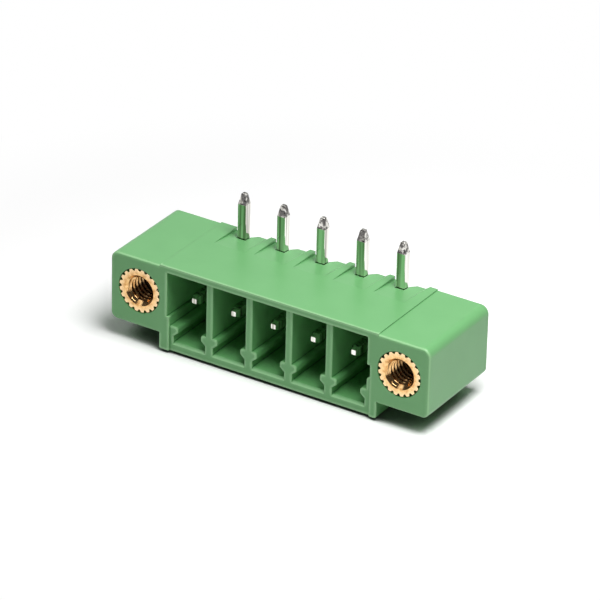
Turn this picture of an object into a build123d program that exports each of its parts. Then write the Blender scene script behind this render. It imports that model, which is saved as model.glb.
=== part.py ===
from build123d import *
import math
import os

# Five-pole shrouded board header with threaded flanges, in millimetres.
# X runs along the row of poles, -Y is the mouth that the plug enters, +Z is the side that meets the board.
# The origin is under the middle of the housing, on the plane that the shroud rests on.

# Poles
pitch = 3.81
poles = 5
contact_height = 4.75
contact_setback = 0.9

# Housing
housing_depth = 9.2
housing_height = 7.7
end_margin = 2.78
shroud_bottom_radius = 0.15
mouth_edge_radius = 0.06

# Flanges: the block at each end that holds a threaded insert
insert_offset = 4.8
insert_height = 4.65
flange_end = 2.8
flange_underside = 1.4
flange_drop = 0.08
flange_top_radius = 0.75
flange_bottom_radius = 0.6
flange_front_radius = 0.22
flange_rear_radius = 0.1

# Cells of the shroud
board_wall = 0.58
floor_wall = 0.8
cavity_depth = 6.2
mouth_setback = 0.2
floor_lead_in = 0.22
partition_wall = 0.64
partition_nose_radius = 0.15

# End walls of the shroud: a ledge on the left one, a groove and a bevel on the right one
left_wall = 0.66
left_ledge_width = 0.24
left_ledge_height = 3.1
right_wall = 0.95
right_groove_depth = 0.27
right_groove_bottom = 3.6
right_groove_top = 4.63
right_bevel = 0.36

# Coding ribs: a stem that carries a wider head, under each partition and half sunk into each end wall
rib_stem = 0.74
rib_head = 1.58
rib_height = 2.25
rib_neck_height = 1.36
rib_lip_height = 1.72
rib_corner_radius = 0.22
rib_edge_radius = 0.1

# Contact pins of square wire
wire = 0.8
leg_y = 3.65
leg_protrusion = 3.9
bend_inner_radius = 0.3
solder_tip_length = 0.95
solder_tip_width = 0.42
contact_tip_length = 0.45
contact_tip_width = 0.46
pin_fit = 0.01

# Channels in the rear wall, where the solder legs stand
channel_clearance = 0.05
channel_wall_gap = 0.08
channel_mouth = 1.8
channel_flare_depth = 0.55
channel_floor_gap = 0.35

# Shallow ramps on the board side, one at each leg, that deepen towards the rear
ramp_length = 3.5
ramp_depth = 0.3
ramp_left = 1.25
ramp_right = 1.65
ramp_side_slope = 0.42

# Threaded inserts
insert_diameter = 4.0
insert_length = 5.2
insert_recess = 0.05
insert_fit = 0.01
knurl_teeth = 20
knurl_depth = 0.2
knurl_notch_width = 0.34
knurl_break_width = 0.9
knurl_break_depth = 0.3
thread_bore_diameter = 2.05
thread_mouth_diameter = 2.75
screw_relief_depth = 1.4
screw_relief_diameter = 2.9

# Places that follow from the sizes above
pole_span = (poles - 1) * pitch
insert_x = pole_span / 2 + insert_offset
half_length = insert_x + flange_end
half_depth = housing_depth / 2
mouth_y = mouth_setback - half_depth
cavity_back_y = cavity_depth - half_depth
shroud_half = pole_span / 2 + end_margin
flange_top = housing_height - flange_drop
cell_top = housing_height - board_wall
left_inner = left_wall - shroud_half
ledge_inner = left_inner + left_ledge_width
right_inner = shroud_half - right_wall
groove_inner = right_inner + right_groove_depth
bevel_inner = groove_inner - right_bevel
channel_front_y = leg_y - wire / 2 - channel_wall_gap
bend_front_y = leg_y - wire / 2 - bend_inner_radius
bend_top = contact_height + wire / 2 + bend_inner_radius
channel_floor = contact_height - wire / 2 - channel_floor_gap
insert_front_y = insert_recess - half_depth
insert_back_y = insert_front_y + insert_length
cut_past = 1.0
wall_overlap = 0.2
select_slack = 0.01


def pole_x(index):
    """X of a pole, counted from 0 at the left end."""
    return (index - (poles - 1) / 2) * pitch


# A coding rib of the housing, with the edges of its front end rounded
with BuildPart() as rib:
    with BuildSketch(Plane.XZ.offset(-mouth_y)) as rib_section:
        Polygon(
            (-rib_stem / 2, floor_wall / 2),
            (rib_stem / 2, floor_wall / 2),
            (rib_stem / 2, rib_neck_height),
            (rib_head / 2, rib_lip_height),
            (rib_head / 2, rib_height),
            (-rib_head / 2, rib_height),
            (-rib_head / 2, rib_lip_height),
            (-rib_stem / 2, rib_neck_height),
            align=None,
        )
        fillet(rib_section.vertices().group_by(Axis.Y)[-1], rib_corner_radius)
    extrude(amount=mouth_y - cavity_back_y - wall_overlap)
    fillet(rib.faces().sort_by(Axis.Y)[0].edges(), rib_edge_radius)

# Housing, one moulded piece
with BuildPart() as housing:
    # A bar over the full length carries both flanges, with its outer corners rounded
    with BuildSketch(Plane.XZ.offset(half_depth)) as flange_section:
        with Locations((0, flange_underside)):
            Rectangle(2 * half_length, flange_top - flange_underside, align=(Align.CENTER, Align.MIN))
        fillet(flange_section.vertices().group_by(Axis.Y)[-1], flange_top_radius)
        fillet(flange_section.vertices().group_by(Axis.Y)[0], flange_bottom_radius)
    extrude(amount=-housing_depth)
    fillet(housing.faces().sort_by(Axis.Y)[0].edges(), flange_front_radius)
    fillet(housing.faces().sort_by(Axis.Y)[-1].edges(), flange_rear_radius)

    # The shroud block stands between the flanges, a touch higher and reaching further down
    with BuildSketch(Plane.XZ.offset(half_depth)) as shroud_section:
        Rectangle(2 * shroud_half, housing_height, align=(Align.CENTER, Align.MIN))
        fillet(shroud_section.vertices().group_by(Axis.Y)[0], shroud_bottom_radius)
    extrude(amount=-housing_depth)

    # The mouth: floor, partitions and ribs start a little behind the front of the end walls
    with BuildSketch(Plane.XZ.offset(half_depth)):
        with BuildLine():
            Polyline(
                (ledge_inner, -cut_past),
                (ledge_inner, left_ledge_height),
                (left_inner, left_ledge_height),
                (left_inner, cell_top),
                (right_inner, cell_top),
                (right_inner, right_groove_top),
                (groove_inner, right_groove_top),
                (groove_inner, -cut_past),
                close=True,
            )
        make_face()
    extrude(amount=-mouth_setback, mode=Mode.SUBTRACT)

    # The cavity behind the mouth
    with BuildSketch(Plane.XZ.offset(half_depth)):
        with BuildLine():
            Polyline(
                (ledge_inner, floor_wall),
                (ledge_inner, left_ledge_height),
                (left_inner, left_ledge_height),
                (left_inner, cell_top),
                (right_inner, cell_top),
                (right_inner, right_groove_top),
                (groove_inner, right_groove_top),
                (groove_inner, right_groove_bottom),
                (bevel_inner, right_groove_bottom - right_bevel),
                (bevel_inner, floor_wall),
                close=True,
            )
        make_face()
    extrude(amount=-cavity_depth, mode=Mode.SUBTRACT)

    # A lead-in along the front edge of the floor
    setback_edges = housing.edges().filter_by_position(
        Axis.Y, mouth_y - select_slack, mouth_y + select_slack
    )
    chamfer(
        setback_edges.filter_by_position(Axis.Z, floor_wall - select_slack, floor_wall + select_slack),
        floor_lead_in,
    )

    # The front edges of the mouth's walls are slightly rounded
    front_edges = housing.edges().filter_by_position(
        Axis.Y, -half_depth - select_slack, -half_depth + select_slack
    )
    mouth_edges = front_edges.filter_by_position(
        Axis.X, left_inner - select_slack, groove_inner + select_slack
    )
    fillet(
        mouth_edges.filter_by_position(Axis.Z, select_slack, cell_top + select_slack),
        mouth_edge_radius,
    )

    # Partitions between the cells, each with a rounded nose at the mouth
    with BuildSketch(Plane.XY.offset(floor_wall / 2)) as partition_plan:
        with GridLocations(pitch, 0, poles - 1, 1):
            Polygon(
                (-partition_wall / 2, mouth_y),
                (partition_wall / 2, mouth_y),
                (partition_wall / 2, cavity_back_y + wall_overlap),
                (-partition_wall / 2, cavity_back_y + wall_overlap),
                align=None,
            )
        fillet(partition_plan.vertices().group_by(Axis.Y)[0], partition_nose_radius)
    extrude(amount=cell_top + wall_overlap - floor_wall / 2)

    # Coding ribs along the floor; the outermost two stand half inside the end walls
    with GridLocations(pitch, 0, poles + 1, 1):
        add(rib.part)

    # A channel in the rear wall for each solder leg, flared where it opens to the rear
    with BuildSketch(Plane.XY.offset(channel_floor)):
        with GridLocations(pitch, 0, poles, 1):
            Polygon(
                (-wire / 2 - channel_clearance, channel_front_y),
                (wire / 2 + channel_clearance, channel_front_y),
                (wire / 2 + channel_clearance, half_depth - channel_flare_depth),
                (channel_mouth / 2, half_depth),
                (channel_mouth / 2, half_depth + cut_past),
                (-channel_mouth / 2, half_depth + cut_past),
                (-channel_mouth / 2, half_depth),
                (-wire / 2 - channel_clearance, half_depth - channel_flare_depth),
                align=None,
            )
    extrude(amount=housing_height + cut_past - channel_floor, mode=Mode.SUBTRACT)

    # Room in front of each channel's lower end for the inside of the pin's bend
    with BuildSketch(Plane.XY.offset(channel_floor)):
        with GridLocations(pitch, 0, poles, 1):
            Polygon(
                (-wire / 2 - channel_clearance, bend_front_y),
                (wire / 2 + channel_clearance, bend_front_y),
                (wire / 2 + channel_clearance, channel_front_y + wall_overlap),
                (-wire / 2 - channel_clearance, channel_front_y + wall_overlap),
                align=None,
            )
    extrude(amount=bend_top - channel_floor, mode=Mode.SUBTRACT)

    # A square hole through the rear wall for each contact
    with BuildSketch(Plane.XZ.offset(-cavity_back_y)):
        with Locations((0, contact_height)):
            with GridLocations(pitch, 0, poles, 1):
                Rectangle(wire + 2 * pin_fit, wire + 2 * pin_fit)
    extrude(amount=cavity_back_y - bend_front_y, mode=Mode.SUBTRACT)

    # The ramp at each leg: upright on its left, sloped on its right, and run out to nothing in front
    with BuildSketch(Plane.XZ.offset(-half_depth)):
        with Locations((0, housing_height)):
            with GridLocations(pitch, 0, poles, 1):
                Polygon(
                    (-ramp_left, -ramp_depth),
                    (ramp_right, -ramp_depth),
                    (ramp_right + 2 * ramp_side_slope, ramp_depth),
                    (-ramp_left, ramp_depth),
                    align=None,
                )
    extrude(
        amount=math.hypot(ramp_length, ramp_depth),
        dir=(0, -ramp_length, ramp_depth),
        mode=Mode.SUBTRACT,
    )

    # A blind hole in each flange for its insert, with room behind it for the end of a screw
    with BuildSketch(Plane.XZ.offset(half_depth)):
        with Locations((-insert_x, insert_height), (insert_x, insert_height)):
            Circle(insert_diameter / 2 + insert_fit)
    extrude(amount=-(insert_back_y + half_depth), mode=Mode.SUBTRACT)
    with BuildSketch(Plane.XZ.offset(-insert_back_y)):
        with Locations((-insert_x, insert_height), (insert_x, insert_height)):
            Circle(screw_relief_diameter / 2)
    extrude(amount=-screw_relief_depth, mode=Mode.SUBTRACT)

housing.part.label = "housing"

# Contact pins: a bent square wire with a blunt point at each end
bend_radius = bend_inner_radius + wire / 2
contact_tip_y = contact_setback - half_depth
contact_run_y = contact_tip_y + contact_tip_length
solder_tip_z = housing_height + leg_protrusion
leg_top_z = solder_tip_z - solder_tip_length
contact_tip_taper = math.degrees(math.atan((wire - contact_tip_width) / 2 / contact_tip_length))
solder_tip_taper = math.degrees(math.atan((wire - solder_tip_width) / 2 / solder_tip_length))
pins = []
for index in range(poles):
    with BuildPart() as pin:
        with BuildLine(Plane.YZ.offset(pole_x(index))) as wire_path:
            FilletPolyline(
                (contact_run_y, contact_height),
                (leg_y, contact_height),
                (leg_y, leg_top_z),
                radius=bend_radius,
            )
        with BuildSketch(Plane.XZ.offset(-contact_run_y)):
            with Locations((pole_x(index), contact_height)):
                Rectangle(wire, wire)
        sweep(path=wire_path.line)
        with BuildSketch(Plane.XZ.offset(-contact_run_y)):
            with Locations((pole_x(index), contact_height)):
                Rectangle(wire, wire)
        extrude(amount=contact_tip_length, taper=contact_tip_taper)
        with BuildSketch(Plane.XY.offset(leg_top_z)):
            with Locations((pole_x(index), leg_y)):
                Rectangle(wire, wire)
        extrude(amount=solder_tip_length, taper=solder_tip_taper)
    pin.part.label = f"pin_{index + 1}"
    pins.append(pin.part)

# Threaded inserts: straight-knurled bushes, with their thread left as its smooth bore
inserts = []
for name, centre_x in (("insert_left", -insert_x), ("insert_right", insert_x)):
    with BuildPart() as insert:
        with BuildSketch(Plane.XZ.offset(-insert_front_y)):
            with Locations((centre_x, insert_height)):
                Circle(insert_diameter / 2)
                with PolarLocations(insert_diameter / 2, knurl_teeth):
                    Polygon(
                        (-knurl_depth, 0),
                        (0, knurl_notch_width / 2),
                        (knurl_depth, knurl_notch_width),
                        (knurl_depth, -knurl_notch_width),
                        (0, -knurl_notch_width / 2),
                        align=None,
                        mode=Mode.SUBTRACT,
                    )
        extrude(amount=-insert_length)

        # A plain groove parts the knurl into two bands, so that the plastic holds the insert lengthwise
        with BuildSketch(Plane.XZ.offset(-insert_front_y - insert_length / 2)):
            with Locations((centre_x, insert_height)):
                Circle(insert_diameter)
                Circle(insert_diameter / 2 - knurl_break_depth, mode=Mode.SUBTRACT)
        extrude(amount=knurl_break_width / 2, both=True, mode=Mode.SUBTRACT)

        # The bore, opened to a cone at its mouth
        with BuildSketch(Plane.XZ.offset(-insert_front_y)):
            with Locations((centre_x, insert_height)):
                Circle(thread_bore_diameter / 2)
        extrude(amount=-insert_length, mode=Mode.SUBTRACT)
        bore_edges = insert.edges().filter_by(GeomType.CIRCLE).group_by(SortBy.RADIUS)[0]
        chamfer(bore_edges.sort_by(Axis.Y)[0], (thread_mouth_diameter - thread_bore_diameter) / 2)
    insert.part.label = name
    inserts.append(insert.part)

os.makedirs("parts", exist_ok=True)
for piece in [housing.part] + pins + inserts:
    export_step(piece, f"parts/{piece.label}.step")
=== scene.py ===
"""Looks of a five-pole shrouded board header with threaded flanges.

The header lies with its board side up. Its moulded housing keeps the solid of the frame and gets its finish
here. The five contact pins and the two threaded inserts are made again as finer surfaces, in the places that
the frame gives. Sizes in the classes are millimetres, and meshes are written in metres.
"""

import logging
import math
from collections.abc import Iterable
from dataclasses import dataclass
from enum import Enum
from typing import Any

import bpy
import numpy as np
from mathutils import Matrix, Vector


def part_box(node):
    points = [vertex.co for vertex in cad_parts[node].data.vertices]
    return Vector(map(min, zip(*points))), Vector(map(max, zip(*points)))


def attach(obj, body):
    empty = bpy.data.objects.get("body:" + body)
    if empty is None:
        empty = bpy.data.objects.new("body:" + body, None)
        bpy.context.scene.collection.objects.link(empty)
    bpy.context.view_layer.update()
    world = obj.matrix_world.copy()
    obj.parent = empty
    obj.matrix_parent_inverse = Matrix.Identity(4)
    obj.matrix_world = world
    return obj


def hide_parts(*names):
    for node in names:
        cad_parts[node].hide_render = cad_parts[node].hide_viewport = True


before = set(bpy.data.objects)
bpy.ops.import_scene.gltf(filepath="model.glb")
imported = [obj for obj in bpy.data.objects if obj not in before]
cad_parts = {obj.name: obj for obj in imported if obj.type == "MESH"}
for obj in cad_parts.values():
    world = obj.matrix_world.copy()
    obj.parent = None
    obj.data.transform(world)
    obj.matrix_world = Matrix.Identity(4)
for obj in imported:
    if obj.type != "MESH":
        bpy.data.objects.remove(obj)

MM = 0.001
POLES = 5
LOG = logging.getLogger("board_header")

# A Mix node's sockets go by number, because those for values and those for colours share their names.
VALUE_A, VALUE_B, VALUE_OUT = 2, 3, 0
COLOUR_A, COLOUR_B, COLOUR_OUT = 6, 7, 2

# A wave texture of scale 1 has one ring in this length.
RING_LENGTH = 0.314


class Slot(Enum):
    """Material slot names, for the pieces that are made again."""

    TIN = "pin_tin"
    BRASS = "insert_brass"


class Side(Enum):
    """The two ends of the header, by the name of their insert."""

    LEFT = "insert_left"
    RIGHT = "insert_right"


def linear(hex_code: str) -> tuple[float, float, float, float]:
    """Turns an sRGB hex colour into linear RGBA.

    Args:
        hex_code: The colour, such as "#7FC080".

    Returns:
        Linear red, green and blue, and an alpha of 1.
    """
    values = np.array([int(hex_code[place:place + 2], 16) for place in (1, 3, 5)]) / 255.0
    low = values / 12.92
    high = ((values + 0.055) / 1.055) ** 2.4
    return (*np.where(values <= 0.04045, low, high).tolist(), 1.0)


def add_node(
    tree: bpy.types.NodeTree, kind: str, inputs: dict[Any, Any] | None = None, **settings: Any
) -> bpy.types.Node:
    """Adds a node with its settings, and fills its inputs with values or links.

    Args:
        tree: The node tree that gets the node.
        kind: The node's type name.
        inputs: Input name or number to a value, or to a socket that is linked to it.
        **settings: Properties of the node.

    Returns:
        The node.
    """
    node = tree.nodes.new(kind)
    for name, value in settings.items():
        setattr(node, name, value)
    for key, value in (inputs or {}).items():
        if isinstance(value, bpy.types.NodeSocket):
            tree.links.new(value, node.inputs[key])
        else:
            node.inputs[key].default_value = value
    return node


def new_material(name: str) -> tuple[bpy.types.Material, bpy.types.NodeTree, bpy.types.Node]:
    """Makes an empty node material.

    Args:
        name: The name of the material.

    Returns:
        The material, its tree and its output node.
    """
    material = bpy.data.materials.new(name)
    material.use_nodes = True
    tree = material.node_tree
    tree.nodes.clear()
    return material, tree, add_node(tree, "ShaderNodeOutputMaterial")


@dataclass(frozen=True)
class MouldedPolyamide:
    """Polyamide 66, injection moulded in polished steel.

    It gives the eye a satin skin with an even green, faint cloudy flow marks and softened edges. Edges on the
    mouth side get a painted highlight, and creases get painted shade. A polished mould leaves a finer grain
    than this one, which is drawn as coarse as it needs to be to show.
    """

    name: str = "polyamide_66_moulded_green"
    colour: str = "#78BE79"
    flow_colour: str = "#70B672"
    edge_highlight_colour: str = "#A6DEA2"
    crease_shade_colour: str = "#2B6A37"
    roughness: float = 0.34
    ior: float = 1.53
    flow_size: float = 2.6
    flow_detail: float = 3.0
    grain_size: float = 0.12
    grain_detail: float = 2.0
    grain_height: float = 0.0012
    mouth_side: float = 0.4

    # The light sees edges rounded by this radius.
    edge_radius: float = 0.07
    edge_radius_rays: int = 6

    # Share of rays into the wall that go the whole reach, at which an edge's painted highlight begins and is
    # full.
    edge_reach: float = 0.28
    edge_begin: float = 0.95
    edge_full: float = 0.65

    # The square of a normal's Y at which the painted highlight on a rounding begins and is full, and the Y at
    # which it is seen from the mouth.
    rounding_begin: float = 0.9
    rounding_full: float = 0.6
    facing_begin: float = -0.2
    facing_full: float = -0.5

    # Share of rays out of the wall that go the whole reach, at which the painted shade in a crease begins and
    # is full.
    crease_reach: float = 0.22
    crease_begin: float = 0.8
    crease_full: float = 0.45
    crease_shade_share: float = 0.8
    reach_rays: int = 8

    def at_mouth(
        self, tree: bpy.types.NodeTree, place: bpy.types.NodeSocket, front: float,
        hole: tuple[float, float], hole_reach: float,
    ) -> bpy.types.NodeSocket:
        """Adds the nodes that tell where an edge may get its painted highlight: near the front and off the
        insert holes.

        Args:
            tree: The node tree that gets the nodes.
            place: The Object coordinates.
            front: The Y of the housing's front, in millimetres.
            hole: Distance of both insert holes from the middle, and their height, in millimetres.
            hole_reach: Distance from a hole's axis within which no edge gets the painted highlight, in
                millimetres.

        Returns:
            The socket of the share, from 0 to 1.
        """
        folded = add_node(tree, "ShaderNodeVectorMath", {0: place}, operation="ABSOLUTE")
        parts = add_node(tree, "ShaderNodeSeparateXYZ", {"Vector": folded.outputs["Vector"]})
        flat = add_node(tree, "ShaderNodeCombineXYZ", {"X": parts.outputs["X"], "Z": parts.outputs["Z"]})
        hole_distance = add_node(
            tree, "ShaderNodeVectorMath",
            {0: flat.outputs["Vector"], 1: (hole[0] * MM, 0.0, hole[1] * MM)}, operation="DISTANCE",
        )
        off_hole = add_node(
            tree, "ShaderNodeMath", {0: hole_distance.outputs["Value"], 1: hole_reach * MM},
            operation="GREATER_THAN",
        )
        depth = add_node(tree, "ShaderNodeSeparateXYZ", {"Vector": place}).outputs["Y"]
        in_front = add_node(
            tree, "ShaderNodeMapRange",
            {"Value": depth, "From Min": (front + self.mouth_side) * MM,
             "From Max": (front + self.mouth_side / 2) * MM, "To Max": off_hole.outputs["Value"]},
        )
        return in_front.outputs["Result"]

    def painted_highlight(self, tree: bpy.types.NodeTree, at_mouth: bpy.types.NodeSocket) -> bpy.types.NodeSocket:
        """Adds the nodes that tell how strong the painted highlight on an edge is.

        It is the larger of two shares: how little wall is behind a place, and how far the place turns away
        from facing the mouth while it is still seen from there.

        Args:
            tree: The node tree that gets the nodes.
            at_mouth: The share by which an edge may get the painted highlight.

        Returns:
            The socket of the share, from 0 to 1.
        """
        inside = add_node(
            tree, "ShaderNodeAmbientOcclusion", {"Distance": self.edge_reach * MM},
            samples=self.reach_rays, inside=True,
        )
        edge = add_node(
            tree, "ShaderNodeMapRange",
            {"Value": inside.outputs["AO"], "From Min": self.edge_begin, "From Max": self.edge_full},
        )
        normal = add_node(tree, "ShaderNodeNewGeometry").outputs["Normal"]
        facing = add_node(tree, "ShaderNodeSeparateXYZ", {"Vector": normal}).outputs["Y"]
        squared = add_node(tree, "ShaderNodeMath", {0: facing, 1: facing}, operation="MULTIPLY")
        rounded = add_node(
            tree, "ShaderNodeMapRange",
            {"Value": squared.outputs["Value"], "From Min": self.rounding_begin,
             "From Max": self.rounding_full},
        )
        turned = add_node(
            tree, "ShaderNodeMapRange",
            {"Value": facing, "From Min": self.facing_begin, "From Max": self.facing_full,
             "To Max": rounded.outputs["Result"]},
        )
        either = add_node(
            tree, "ShaderNodeMath", {0: edge.outputs["Result"], 1: turned.outputs["Result"]},
            operation="MAXIMUM",
        )
        pale = add_node(
            tree, "ShaderNodeMath", {0: either.outputs["Value"], 1: at_mouth}, operation="MULTIPLY",
        )
        return pale.outputs["Value"]

    def material(self, front: float, hole: tuple[float, float], hole_reach: float) -> bpy.types.Material:
        """Makes the node material of the housing.

        Args:
            front: The Y of the housing's front, in millimetres.
            hole: Distance of both insert holes from the middle, and their height, in millimetres.
            hole_reach: Distance from a hole's axis within which no edge gets the painted highlight, in
                millimetres.

        Returns:
            The material.
        """
        material, tree, output = new_material(self.name)
        place = add_node(tree, "ShaderNodeTexCoord").outputs["Object"]
        at_mouth = self.at_mouth(tree, place, front, hole, hole_reach)
        flow = add_node(
            tree, "ShaderNodeTexNoise",
            {"Vector": place, "Scale": 1 / (self.flow_size * MM), "Detail": self.flow_detail},
        )
        colour = add_node(
            tree, "ShaderNodeMix",
            {"Factor": flow.outputs["Fac"], COLOUR_A: linear(self.colour),
             COLOUR_B: linear(self.flow_colour)},
            data_type="RGBA",
        )
        # Painted highlight: a pale colour on edges and roundings near the mouth, where they would catch
        # light.
        highlighted = add_node(
            tree, "ShaderNodeMix",
            {"Factor": self.painted_highlight(tree, at_mouth), COLOUR_A: colour.outputs[COLOUR_OUT],
             COLOUR_B: linear(self.edge_highlight_colour)},
            data_type="RGBA",
        )
        # Painted shade: a darker colour in creases, where little room is left outside the wall.
        outside = add_node(
            tree, "ShaderNodeAmbientOcclusion", {"Distance": self.crease_reach * MM},
            samples=self.reach_rays,
        )
        crease = add_node(
            tree, "ShaderNodeMapRange",
            {"Value": outside.outputs["AO"], "From Min": self.crease_begin,
             "From Max": self.crease_full, "To Max": self.crease_shade_share},
        )
        crease_shaded = add_node(
            tree, "ShaderNodeMix",
            {"Factor": crease.outputs["Result"], COLOUR_A: highlighted.outputs[COLOUR_OUT],
             COLOUR_B: linear(self.crease_shade_colour)},
            data_type="RGBA",
        )
        grain = add_node(
            tree, "ShaderNodeTexNoise",
            {"Vector": place, "Scale": 1 / (self.grain_size * MM), "Detail": self.grain_detail},
        )
        soft_edges = add_node(
            tree, "ShaderNodeBevel", {"Radius": self.edge_radius * MM}, samples=self.edge_radius_rays
        )
        bump = add_node(
            tree, "ShaderNodeBump",
            {"Strength": 1.0, "Distance": self.grain_height * MM, "Height": grain.outputs["Fac"],
             "Normal": soft_edges.outputs["Normal"]},
        )
        shader = add_node(
            tree, "ShaderNodeBsdfPrincipled",
            {"Base Color": crease_shaded.outputs[COLOUR_OUT], "Roughness": self.roughness, "IOR": self.ior,
             "Normal": bump.outputs["Normal"]},
        )
        tree.links.new(shader.outputs["BSDF"], output.inputs["Surface"])
        return material


@dataclass(frozen=True)
class BrightTin:
    """Bright tin, electroplated on drawn copper-alloy wire.

    It gives the eye a near mirror with faint drawing lines along the legs, and a rough, darker, sheared end.
    Real drawing lines are finer, and these are drawn as wide as they need to be to show.
    """

    name: str = "tin_electroplated_bright"
    colour: str = "#ECEAE4"
    line_colour: str = "#8E8C80"
    end_colour: str = "#6A6866"
    roughness: float = 0.08
    line_size: float = 0.24
    line_stretch: float = 60.0
    line_height: float = 0.0015
    line_detail: float = 1.0
    shear_size: float = 0.4
    shear_height: float = 0.045
    shear_detail: float = 2.0

    # Values of the noise where a line, or the bare metal of the sheared end, begins and is full.
    line_begin: float = 0.45
    line_full: float = 0.7
    bare_begin: float = 0.42
    bare_full: float = 0.55

    def material(self, end_start: float) -> bpy.types.Material:
        """Makes the node material of the pins.

        Args:
            end_start: Height above which a leg is sheared, in millimetres.

        Returns:
            The material.
        """
        material, tree, output = new_material(self.name)
        place = add_node(tree, "ShaderNodeTexCoord").outputs["Object"]
        height = add_node(tree, "ShaderNodeSeparateXYZ", {"Vector": place}).outputs["Z"]
        at_end = add_node(
            tree, "ShaderNodeMath", {0: height, 1: end_start * MM}, operation="GREATER_THAN"
        )
        along = add_node(
            tree, "ShaderNodeMapping", {"Vector": place, "Scale": (1.0, 1.0, 1 / self.line_stretch)}
        )
        lines = add_node(
            tree, "ShaderNodeTexNoise",
            {"Vector": along.outputs["Vector"], "Scale": 1 / (self.line_size * MM),
             "Detail": self.line_detail},
        )
        lined = add_node(
            tree, "ShaderNodeMapRange",
            {"Value": lines.outputs["Fac"], "From Min": self.line_begin, "From Max": self.line_full},
        )
        drawn = add_node(
            tree, "ShaderNodeMix",
            {"Factor": lined.outputs["Result"], COLOUR_A: linear(self.colour),
             COLOUR_B: linear(self.line_colour)},
            data_type="RGBA",
        )
        shear = add_node(
            tree, "ShaderNodeTexNoise",
            {"Vector": place, "Scale": 1 / (self.shear_size * MM), "Detail": self.shear_detail},
        )
        bare = add_node(
            tree, "ShaderNodeMapRange",
            {"Value": shear.outputs["Fac"], "From Min": self.bare_begin, "From Max": self.bare_full},
        )
        torn = add_node(
            tree, "ShaderNodeMath", {0: bare.outputs["Result"], 1: at_end.outputs["Value"]},
            operation="MULTIPLY",
        )
        colour = add_node(
            tree, "ShaderNodeMix",
            {"Factor": torn.outputs["Value"], COLOUR_A: drawn.outputs[COLOUR_OUT],
             COLOUR_B: linear(self.end_colour)},
            data_type="RGBA",
        )
        line_bump = add_node(
            tree, "ShaderNodeBump",
            {"Strength": 1.0, "Distance": self.line_height * MM, "Height": lines.outputs["Fac"]},
        )
        bump = add_node(
            tree, "ShaderNodeBump",
            {"Strength": at_end.outputs["Value"], "Distance": self.shear_height * MM,
             "Height": shear.outputs["Fac"], "Normal": line_bump.outputs["Normal"]},
        )
        shader = add_node(
            tree, "ShaderNodeBsdfPrincipled",
            {"Base Color": colour.outputs[COLOUR_OUT], "Metallic": 1.0, "Roughness": self.roughness,
             "Normal": bump.outputs["Normal"]},
        )
        tree.links.new(shader.outputs["BSDF"], output.inputs["Surface"])
        return material


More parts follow.
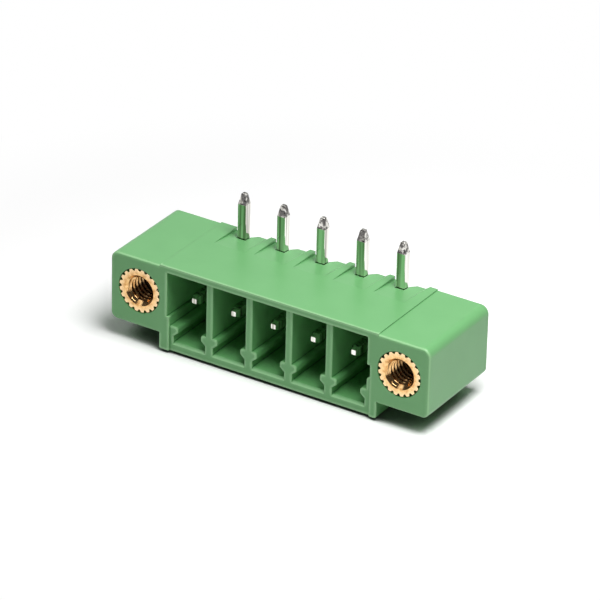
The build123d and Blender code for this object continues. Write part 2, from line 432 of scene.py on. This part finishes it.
@dataclass(frozen=True)
class TurnedBrass:
    """Free-cutting brass, turned, knurled and tapped.

    It gives the eye a warm bright metal with tool rings round its axis and small mottled patches. It is paler
    at the rim than at the mouth, and painted shade darkens the thread's roots, and all of the bore with
    depth.
    """

    name: str = "brass_turned"
    colour: str = "#EABF86"
    patch_colour: str = "#C29058"
    rim_colour: str = "#EED0A4"
    bore_shade_colour: str = "#2A1A0C"
    roughness: float = 0.16
    patch_size: float = 0.35
    patch_height: float = 0.004
    patch_detail: float = 3.0
    ring_pitch: float = 0.09
    ring_height: float = 0.002
    ring_wander: float = 0.4

    # Values of the noise where a patch begins and is full.
    patch_begin: float = 0.42
    patch_full: float = 0.66

    # Radii where the rim's colour and the roots' painted shade begin and are full, and depths where the
    # painted shade of the deep bore does.
    rim_begin: float = 1.45
    rim_full: float = 1.95
    root_begin: float = 1.1
    root_full: float = 1.22
    bore_shade_begin: float = 0.9
    bore_shade_full: float = 3.2
    mouth_depth: float = 0.28

    def painted_bore_shade(
        self, tree: bpy.types.NodeTree, radius: bpy.types.NodeSocket, depth: bpy.types.NodeSocket
    ) -> bpy.types.NodeSocket:
        """Adds the nodes that tell how much painted shade a place in the bore gets.

        It is the larger of two shares: how far out a place behind the mouth is towards the thread's roots,
        and how deep it is.

        Args:
            tree: The node tree that gets the nodes.
            radius: Distance from the insert's axis.
            depth: Distance behind the insert's front face.

        Returns:
            The socket of the share, from 0 to 1.
        """
        in_bore = add_node(
            tree, "ShaderNodeMath", {0: radius, 1: self.rim_begin * MM}, operation="LESS_THAN"
        )
        deep = add_node(
            tree, "ShaderNodeMapRange",
            {"Value": depth, "From Min": self.bore_shade_begin * MM, "From Max": self.bore_shade_full * MM},
        )
        behind_mouth = add_node(
            tree, "ShaderNodeMath", {0: depth, 1: self.mouth_depth * MM}, operation="GREATER_THAN"
        )
        at_root = add_node(
            tree, "ShaderNodeMapRange",
            {"Value": radius, "From Min": self.root_begin * MM, "From Max": self.root_full * MM,
             "To Max": behind_mouth.outputs["Value"]},
        )
        shade_share = add_node(
            tree, "ShaderNodeMath", {0: at_root.outputs["Result"], 1: deep.outputs["Result"]},
            operation="MAXIMUM",
        )
        bore_shade = add_node(
            tree, "ShaderNodeMath", {0: in_bore.outputs["Value"], 1: shade_share.outputs["Value"]},
            operation="MULTIPLY",
        )
        return bore_shade.outputs["Value"]

    def material(self, centre: tuple[float, float, float], name_end: str) -> bpy.types.Material:
        """Makes the node material of one insert.

        Args:
            centre: The middle of the insert's front face, in millimetres.
            name_end: What ends the material's name.

        Returns:
            The material.
        """
        material, tree, output = new_material(f"{self.name}_{name_end}")
        place = add_node(tree, "ShaderNodeTexCoord").outputs["Object"]
        centred = add_node(
            tree, "ShaderNodeMapping",
            {"Vector": place, "Location": tuple(-value * MM for value in centre)},
        )
        patches = add_node(
            tree, "ShaderNodeTexNoise",
            {"Vector": place, "Scale": 1 / (self.patch_size * MM), "Detail": self.patch_detail},
        )
        spread = add_node(
            tree, "ShaderNodeMapRange",
            {"Value": patches.outputs["Fac"], "From Min": self.patch_begin, "From Max": self.patch_full},
        )
        colour = add_node(
            tree, "ShaderNodeMix",
            {"Factor": spread.outputs["Result"], COLOUR_A: linear(self.colour),
             COLOUR_B: linear(self.patch_colour)},
            data_type="RGBA",
        )
        parts = add_node(tree, "ShaderNodeSeparateXYZ", {"Vector": centred.outputs["Vector"]})
        flat = add_node(
            tree, "ShaderNodeCombineXYZ", {"X": parts.outputs["X"], "Z": parts.outputs["Z"]}
        )
        radius = add_node(tree, "ShaderNodeVectorMath", {0: flat.outputs["Vector"]}, operation="LENGTH")
        near_rim = add_node(
            tree, "ShaderNodeMapRange",
            {"Value": radius.outputs["Value"], "From Min": self.rim_begin * MM,
             "From Max": self.rim_full * MM},
        )
        rimmed = add_node(
            tree, "ShaderNodeMix",
            {"Factor": near_rim.outputs["Result"], COLOUR_A: colour.outputs[COLOUR_OUT],
             COLOUR_B: linear(self.rim_colour)},
            data_type="RGBA",
        )
        bore_shade = self.painted_bore_shade(tree, radius.outputs["Value"], parts.outputs["Y"])
        # Painted shade: the thread's roots and the deep bore get a dark colour in place of their shade.
        bore_shaded = add_node(
            tree, "ShaderNodeMix",
            {"Factor": bore_shade, COLOUR_A: rimmed.outputs[COLOUR_OUT], COLOUR_B: linear(self.bore_shade_colour)},
            data_type="RGBA",
        )
        rings = add_node(
            tree, "ShaderNodeTexWave",
            {"Vector": centred.outputs["Vector"], "Scale": RING_LENGTH / (self.ring_pitch * MM),
             "Distortion": self.ring_wander},
            wave_type="RINGS", rings_direction="Y",
        )
        tool_marks = add_node(
            tree, "ShaderNodeBump",
            {"Strength": 1.0, "Distance": self.ring_height * MM, "Height": rings.outputs["Fac"]},
        )
        bump = add_node(
            tree, "ShaderNodeBump",
            {"Strength": 1.0, "Distance": self.patch_height * MM, "Height": patches.outputs["Fac"],
             "Normal": tool_marks.outputs["Normal"]},
        )
        shader = add_node(
            tree, "ShaderNodeBsdfPrincipled",
            {"Base Color": bore_shaded.outputs[COLOUR_OUT], "Metallic": 1.0, "Roughness": self.roughness,
             "Normal": bump.outputs["Normal"]},
        )
        tree.links.new(shader.outputs["BSDF"], output.inputs["Surface"])
        return material


def write_piece(
    name: str, points: np.ndarray, faces: list[list[int]], sharp_angle: float = 30.0
) -> bpy.types.Object:
    """Makes a mesh object at the origin, smooth but for its sharp edges.

    Args:
        name: The name of the piece.
        points: Points in millimetres, one row each.
        faces: Point numbers of each face, in the order that makes it face outwards.
        sharp_angle: Degrees past which an edge stays sharp.

    Returns:
        The object.
    """
    mesh = bpy.data.meshes.new(name)
    mesh.from_pydata((points * MM).tolist(), [], faces)
    mesh.polygons.foreach_set("use_smooth", np.ones(len(mesh.polygons), dtype=bool))
    mesh.set_sharp_from_angle(angle=math.radians(sharp_angle))
    mesh.update()
    piece = bpy.data.objects.new(name, mesh)
    bpy.context.scene.collection.objects.link(piece)
    return piece


def grid_quads(rows: int, columns: int, closed_rows: bool) -> np.ndarray:
    """Works out the quads of a grid whose columns run round and meet.

    Each quad joins a point, its neighbour in the next row, and the two beside them in the next column. Point
    numbers are row times columns plus column.

    Args:
        rows: Number of rows.
        columns: Number of columns.
        closed_rows: True where the last row is joined to the first.

    Returns:
        The quads, one row each.
    """
    row = np.arange(rows if closed_rows else rows - 1)[:, None]
    column = np.arange(columns)[None, :]
    next_row = (row + 1) % rows
    next_column = (column + 1) % columns
    corners = (
        row * columns + column,
        next_row * columns + column,
        next_row * columns + next_column,
        row * columns + next_column,
    )
    return np.stack([np.broadcast_to(c, (row.size, columns)) for c in corners], axis=-1).reshape(-1, 4)


@dataclass
class Housing:
    """The moulded housing, whose solid is the frame's."""

    finish: MouldedPolyamide = MouldedPolyamide()
    node: str = "housing"
    hole_margin: float = 0.4

    def dress(self) -> None:
        """Gives the housing its finish."""
        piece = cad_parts[self.node]
        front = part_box(self.node)[0].y / MM
        low, high = (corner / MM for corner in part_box(Side.RIGHT.value))
        hole = ((low.x + high.x) / 2, (low.z + high.z) / 2)
        reach = (high.x - low.x) / 2 + self.hole_margin
        piece.data.materials.clear()
        piece.data.materials.append(self.finish.material(front, hole, reach))
        LOG.info("%s dressed", self.node)


@dataclass
class ContactPin:
    """A bent pin of square wire with a blunt point at each end."""

    number: int
    finish: bpy.types.Material
    bend_inner_radius: float = 0.3
    contact_tip_length: float = 0.45
    contact_tip_width: float = 0.46
    solder_tip_length: float = 0.95
    solder_tip_width: float = 0.42
    contact_rounding: float = 0.035
    solder_rounding: float = 0.07
    crease_width: float = 0.03
    squareness: float = 12.0
    around: int = 64
    along_bend: int = 24
    sharp_angle: float = 40.0

    @property
    def node(self) -> str:
        """The frame's node that this pin stands for."""
        return f"pin_{self.number}"

    def section(self) -> np.ndarray:
        """Works out the wire's section, a square of half width 1 with rounded corners.

        The radius at an angle is the sum of the powers of cosine and sine, to the power of minus one over the
        squareness, which is a square with soft corners.

        Returns:
            Across and outward values of each point round the section.
        """
        angle = np.linspace(0, 2 * math.pi, self.around, endpoint=False)
        cosine, sine = np.cos(angle), np.sin(angle)
        powers = np.abs(cosine) ** self.squareness + np.abs(sine) ** self.squareness
        radius = powers ** (-1 / self.squareness)
        return np.stack([radius * cosine, radius * sine], axis=-1)

    def stations(self, low: Vector, high: Vector) -> tuple[np.ndarray, np.ndarray, np.ndarray]:
        """Works out the wire's centre line, its direction and its half width.

        The line runs from the contact's tip along +Y, turns upwards on a quarter of a circle and rises to the
        solder tip. Half widths fall in straight lines towards both tips, and then in a straight line over the
        rounding. A station at each side of a crease keeps the faces beside it flat.

        Args:
            low: The lowest corner of the node's box, in millimetres.
            high: The highest corner of the node's box, in millimetres.

        Returns:
            Centre points as Y and Z, turning angles from +Y towards +Z, and half widths.
        """
        half = (high.x - low.x) / 2
        height = low.z + half
        leg = high.y - half
        bend = self.bend_inner_radius + half
        turn = np.linspace(0, math.pi / 2, self.along_bend)
        crease = self.crease_width
        first, last = self.contact_rounding, self.solder_rounding
        run = np.array([
            0, first, first + crease, self.contact_tip_length - crease, self.contact_tip_length,
            self.contact_tip_length + crease, leg - bend - crease - low.y,
        ])
        rise = np.array([
            high.z - height - bend - crease, self.solder_tip_length + crease, self.solder_tip_length,
            self.solder_tip_length - crease, last + crease, last, 0,
        ])
        contact_end, solder_end = self.contact_tip_width / 2, self.solder_tip_width / 2
        run_width = np.interp(
            run, [0, first, self.contact_tip_length], [contact_end - first, contact_end, half]
        )
        rise_width = np.interp(
            rise, [0, last, self.solder_tip_length], [solder_end - last, solder_end, half]
        )
        centre = np.concatenate([
            np.stack([low.y + run, np.full(run.size, height)], axis=-1),
            np.stack([leg - bend + bend * np.sin(turn), height + bend - bend * np.cos(turn)], axis=-1),
            np.stack([np.full(rise.size, leg), high.z - rise], axis=-1),
        ])
        angle = np.concatenate([np.zeros(run.size), turn, np.full(rise.size, math.pi / 2)])
        widths = np.concatenate([run_width, np.full(self.along_bend, half), rise_width])
        return centre, angle, widths

    def build(self) -> bpy.types.Object:
        """Builds the pin by carrying its section along its line, and closes both ends.

        A point is the centre plus its across value times X, plus its outward value times the line's normal,
        which is Z along the contact and turns to minus Y along the leg.

        Returns:
            The pin's object.
        """
        low, high = (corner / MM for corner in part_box(self.node))
        centre, angle, widths = self.stations(low, high)
        section = self.section()
        across = widths[:, None] * section[None, :, 0]
        outward = widths[:, None] * section[None, :, 1]
        points = np.stack([
            (low.x + high.x) / 2 + across,
            centre[:, None, 0] - outward * np.sin(angle)[:, None],
            centre[:, None, 1] + outward * np.cos(angle)[:, None],
        ], axis=-1).reshape(-1, 3)
        rows = len(widths)
        faces = grid_quads(rows, self.around, closed_rows=False)[:, ::-1].tolist()
        first = np.arange(self.around)
        faces.append(first.tolist())
        faces.append((first[::-1] + (rows - 1) * self.around).tolist())
        piece = write_piece(f"contact_{self.node}", points, faces, self.sharp_angle)
        piece.data.materials.append(self.finish)
        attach(piece, "root")
        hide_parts(self.node)
        return piece


@dataclass
class ThreadedInsert:
    """A straight-knurled bush with a metric thread."""

    side: Side
    finish: TurnedBrass = TurnedBrass()
    teeth: int = 20
    notch_depth: float = 0.21
    notch_width: float = 0.3
    break_width: float = 0.9
    break_depth: float = 0.3
    rim_chamfer: float = 0.05
    thread_pitch: float = 0.45
    thread_minor: float = 2.05
    thread_depth: float = 0.22
    mouth: float = 2.75
    columns_per_tooth: int = 14
    rows_per_turn: int = 16
    rows_per_face: int = 4
    sharp_angle: float = 32.0

    # Parts of a turn's length: half of the groove's flat, and one of its flanks.
    groove_half_flat: float = 1 / 16
    groove_flank: float = 5 / 16

    def notch(self, angle: np.ndarray, outer: float) -> np.ndarray:
        """Works out how deep the knurl's grooves are at each angle.

        The depth over a groove's width is half an ellipse.

        Args:
            angle: Angles round the insert.
            outer: The knurl's outer radius, in millimetres.

        Returns:
            Groove depths in millimetres.
        """
        step = 2 * math.pi / self.teeth
        apart = np.abs((angle + step / 2) % step - step / 2) * outer
        return self.notch_depth * np.sqrt(np.clip(1 - (apart / (self.notch_width / 2)) ** 2, 0, 1))

    def thread(self, angle: np.ndarray, depth: np.ndarray) -> np.ndarray:
        """Works out the thread's radius.

        The groove's share of its full depth is 1 over its flat, falls in a straight line over a flank on each
        side, and is 0 over the rest of the turn. A turn starts where depth over pitch plus angle over a full
        turn is a whole number, which is a right-hand thread.

        Args:
            angle: Angles round the insert.
            depth: Depths behind the insert's front face.

        Returns:
            Radii in millimetres.
        """
        phase = depth / self.thread_pitch + angle / (2 * math.pi)
        apart = np.abs((phase + 0.5) % 1.0 - 0.5)
        share = np.clip((self.groove_half_flat + self.groove_flank - apart) / self.groove_flank, 0, 1)
        return self.thread_minor / 2 + self.thread_depth * share

    def profile(self, angle: np.ndarray, outer: float, length: float) -> tuple[np.ndarray, np.ndarray]:
        """Works out the radius and the depth at each place on the profile and each angle.

        The profile goes back along the knurl, in across the rear face, forwards through the bore and out
        across the front face. The bore is the largest of its inner diameter, the thread and the mouth's cone,
        which closes by as much as it goes deep.

        Args:
            angle: Angles round the insert, in one row.
            outer: The knurl's outer radius, in millimetres.
            length: The insert's length, in millimetres.

        Returns:
            Radii, and depths behind the front face, with one row for each place on the profile.
        """
        middle = length / 2
        half_break = self.break_width / 2
        outer_depth = np.array([
            self.rim_chamfer, (middle - half_break) / 2, middle - half_break, middle - half_break,
            middle + half_break, middle + half_break, (length + middle + half_break) / 2,
            length - self.rim_chamfer,
        ])[:, None]
        in_break = np.array([0, 0, 0, 1, 1, 0, 0, 0], dtype=bool)[:, None]
        knurled = outer - self.notch(angle, outer)
        outer_radius = np.where(in_break, outer - self.break_depth, knurled)
        rim = knurled - self.rim_chamfer

        bore_rows = int(length / self.thread_pitch * self.rows_per_turn)
        bore_depth = np.linspace(length, 0, bore_rows)[:, None]
        cone = self.mouth / 2 - bore_depth
        plain_bore = np.maximum(self.thread_minor / 2, cone)
        bore_radius = np.maximum(plain_bore, self.thread(angle, bore_depth))
        bore_radius[-1, :] = self.mouth / 2

        share = np.linspace(0, 1, self.rows_per_face + 2)[1:-1, None]
        rear = rim + (bore_radius[:1] - rim) * share
        front = self.mouth / 2 + (rim - self.mouth / 2) * share
        radius = np.concatenate([rim, outer_radius, rim, rear, bore_radius, front])
        depth = np.concatenate([
            np.zeros((1, 1)), outer_depth, np.full((1, 1), length),
            np.full((self.rows_per_face, 1), length), bore_depth, np.zeros((self.rows_per_face, 1)),
        ])
        return radius, np.broadcast_to(depth, radius.shape)

    def build(self) -> bpy.types.Object:
        """Builds the insert as one surface that closes round its axis and along its profile.

        Returns:
            The insert's object.
        """
        low, high = (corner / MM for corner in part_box(self.side.value))
        centre_x, centre_z = (low.x + high.x) / 2, (low.z + high.z) / 2
        columns = self.teeth * self.columns_per_tooth
        angle = np.linspace(0, 2 * math.pi, columns, endpoint=False)[None, :]
        radius, depth = self.profile(angle, (high.x - low.x) / 2, high.y - low.y)
        points = np.stack([
            centre_x + radius * np.cos(angle), low.y + depth, centre_z + radius * np.sin(angle),
        ], axis=-1).reshape(-1, 3)
        faces = grid_quads(len(radius), columns, closed_rows=True).tolist()
        piece = write_piece(f"threaded_{self.side.value}", points, faces, self.sharp_angle)
        material = self.finish.material((centre_x, low.y, centre_z), self.side.name.lower())
        piece.data.materials.append(material)
        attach(piece, "root")
        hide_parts(self.side.value)
        return piece


@dataclass(frozen=True)
class Softbox:
    """A large square lamp that faces the header."""

    name: str
    place: tuple[float, float, float]
    size: float
    watts: float

    def build(self) -> None:
        """Makes the lamp."""
        data = bpy.data.lights.new(self.name, "AREA")
        data.shape = "SQUARE"
        data.size = self.size * MM
        data.energy = self.watts
        lamp = bpy.data.objects.new(self.name, data)
        lamp.location = Vector(self.place) * MM
        lamp.rotation_euler = (-lamp.location).to_track_quat("-Z", "Y").to_euler()
        bpy.context.scene.collection.objects.link(lamp)


@dataclass(frozen=True)
class Studio:
    """A pale floor, two large soft lamps and a faint fill all round."""

    lamps: tuple[Softbox, ...] = (
        Softbox(name="overhead_softbox", place=(37.0, -12.0, 110.0), size=66.0, watts=0.136),
        Softbox(name="front_softbox", place=(-92.0, -94.0, 150.0), size=90.0, watts=0.031),
    )
    floor_size: float = 3000.0
    floor_gap: float = 0.28
    floor_bounce: str = "#C6C6C6"
    floor_shown: str = "#FFFFFF"
    shown_gain: float = 1.26

    # Distances from the middle where the floor starts to be plain white, and where it is.
    far_begin: float = 18.0
    far_full: float = 48.0

    # Share of rays off the floor that go the whole reach, at which its painted contact shadow starts and is
    # darkest.
    contact_reach: float = 3.5
    contact_begin: float = 0.58
    contact_full: float = 0.3
    contact_shadow_level: float = 0.17
    contact_rays: int = 16

    # The world's strengths, and a direction's Y where the mirrored room starts to be bright and is.
    background: str = "#FFFFFF"
    fill: float = 0.1
    room_dark: float = 0.07
    room_bright: float = 0.8
    room_begin: float = -0.1
    room_full: float = 0.35

    def build(self) -> None:
        """Makes the floor, the lamps and the world."""
        self.floor()
        for lamp in self.lamps:
            lamp.build()
        self.world()

    def floor(self) -> None:
        """Makes the floor, which the camera and mirrors see as plain white far from the header.

        Its paint carries a painted contact shadow where the header is close above it, so that the gap at the
        foot stays dark.
        """
        half = self.floor_size / 2
        corners = np.array([(-half, -half), (half, -half), (half, half), (-half, half)])
        points = np.column_stack([corners, np.full(len(corners), -self.floor_gap)])
        floor = write_piece("floor", points, [[0, 1, 2, 3]])
        material, tree, output = new_material("painted_board_pale")
        path = add_node(tree, "ShaderNodeLightPath")
        mirrored = add_node(
            tree, "ShaderNodeMath",
            {0: path.outputs["Is Glossy Ray"], 1: path.outputs["Is Transmission Ray"]}, operation="MAXIMUM",
        )
        shown = add_node(
            tree, "ShaderNodeMath",
            {0: path.outputs["Is Camera Ray"], 1: mirrored.outputs["Value"]}, operation="MAXIMUM",
        )
        place = add_node(tree, "ShaderNodeTexCoord").outputs["Object"]
        distance = add_node(tree, "ShaderNodeVectorMath", {0: place}, operation="LENGTH")
        far = add_node(
            tree, "ShaderNodeMapRange",
            {"Value": distance.outputs["Value"], "From Min": self.far_begin * MM,
             "From Max": self.far_full * MM, "To Max": shown.outputs["Value"]},
            interpolation_type="SMOOTHSTEP",
        )
        tone = add_node(
            tree, "ShaderNodeMix",
            {"Factor": shown.outputs["Value"], COLOUR_A: linear(self.floor_bounce),
             COLOUR_B: tuple(value * self.shown_gain for value in linear(self.floor_shown))},
            data_type="RGBA",
        )
        # Painted contact shadow: the floor's paint darkens where the header is close above it.
        openness = add_node(
            tree, "ShaderNodeAmbientOcclusion", {"Distance": self.contact_reach * MM},
            samples=self.contact_rays,
        )
        contact = add_node(
            tree, "ShaderNodeMapRange",
            {"Value": openness.outputs["AO"], "From Min": self.contact_begin,
             "From Max": self.contact_full, "To Min": 1.0, "To Max": self.contact_shadow_level},
        )
        shadowed_tone = add_node(
            tree, "ShaderNodeVectorMath",
            {0: tone.outputs[COLOUR_OUT], "Scale": contact.outputs["Result"]}, operation="SCALE",
        )
        paint = add_node(tree, "ShaderNodeBsdfDiffuse", {"Color": shadowed_tone.outputs["Vector"]})
        white = add_node(tree, "ShaderNodeEmission", {"Strength": 1.0})
        mix = add_node(
            tree, "ShaderNodeMixShader",
            {0: far.outputs["Result"], 1: paint.outputs["BSDF"], 2: white.outputs["Emission"]},
        )
        tree.links.new(mix.outputs["Shader"], output.inputs["Surface"])
        floor.data.materials.append(material)

    def world(self) -> None:
        """Makes the surroundings.

        They are white to the camera, an even fill to the pieces, and to mirrors a room that is dark in front
        and bright behind.
        """
        world = bpy.data.worlds.new("studio")
        bpy.context.scene.world = world
        world.use_nodes = True
        tree = world.node_tree
        tree.nodes.clear()
        path = add_node(tree, "ShaderNodeLightPath")
        direction = add_node(tree, "ShaderNodeTexCoord").outputs["Generated"]
        parts = add_node(tree, "ShaderNodeSeparateXYZ", {"Vector": direction})
        room = add_node(
            tree, "ShaderNodeMapRange",
            {"Value": parts.outputs["Y"], "From Min": self.room_begin, "From Max": self.room_full,
             "To Min": self.room_dark, "To Max": self.room_bright},
            interpolation_type="SMOOTHSTEP",
        )
        mirrored = add_node(
            tree, "ShaderNodeMix",
            {"Factor": path.outputs["Is Glossy Ray"], VALUE_A: self.fill,
             VALUE_B: room.outputs["Result"]},
            data_type="FLOAT",
        )
        strength = add_node(
            tree, "ShaderNodeMix",
            {"Factor": path.outputs["Is Camera Ray"], VALUE_A: mirrored.outputs[VALUE_OUT],
             VALUE_B: 1.0},
            data_type="FLOAT",
        )
        background = add_node(
            tree, "ShaderNodeBackground",
            {"Color": linear(self.background), "Strength": strength.outputs[VALUE_OUT]},
        )
        output = add_node(tree, "ShaderNodeOutputWorld")
        tree.links.new(background.outputs["Background"], output.inputs["Surface"])


@dataclass(frozen=True)
class Viewpoint:
    """The photograph's camera: a long lens that looks down on the header from its right front.

    Angles are degrees. The scale is in pixels to a millimetre, and the picture's width in pixels.
    """

    azimuth: float = 31.6
    elevation: float = 28.08
    roll: float = 1.45
    distance: float = 400.0
    aim_right: float = 0.298
    aim_up: float = 4.912
    scale: float = 12.245
    picture: float = 600.0
    sensor: float = 36.0
    nearest: float = 10.0
    farthest: float = 20000.0

    def build(self) -> None:
        """Makes the camera, whose lens shows the wanted pixels to a millimetre at its distance."""
        turn, tilt, roll = (math.radians(value) for value in (self.azimuth, self.elevation, self.roll))
        back = Vector((
            math.sin(turn) * math.cos(tilt), -math.cos(turn) * math.cos(tilt), math.sin(tilt)
        ))
        level_right = Vector((math.cos(turn), math.sin(turn), 0))
        level_up = back.cross(level_right)
        right = level_right * math.cos(roll) + level_up * math.sin(roll)
        up = level_up * math.cos(roll) - level_right * math.sin(roll)
        data = bpy.data.cameras.new("camera")
        data.sensor_width = self.sensor
        data.lens = self.sensor * self.distance * self.scale / self.picture
        data.clip_start = self.nearest * MM
        data.clip_end = self.farthest * MM
        camera = bpy.data.objects.new("camera", data)
        place = (right * self.aim_right + up * self.aim_up + back * self.distance) * MM
        camera.matrix_world = Matrix.Translation(place) @ Matrix((right, up, back)).transposed().to_4x4()
        bpy.context.scene.collection.objects.link(camera)
        bpy.context.scene.camera = camera


def main() -> None:
    """Builds the camera, the studio and the pieces."""
    logging.basicConfig(level=logging.INFO, format="%(name)s: %(message)s")
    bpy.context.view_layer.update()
    bpy.context.scene.view_settings.view_transform = "Standard"
    Viewpoint().build()
    Studio().build()
    Housing().dress()
    tin = BrightTin().material(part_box("pin_1")[1].z / MM - ContactPin.solder_tip_length)
    pieces = [ContactPin(number, tin).build() for number in range(1, POLES + 1)]
    pieces += [ThreadedInsert(side).build() for side in Side]
    for piece in pieces:
        LOG.info("%s has %d faces", piece.name, len(piece.data.polygons))


if __name__ == "__main__":
    main()
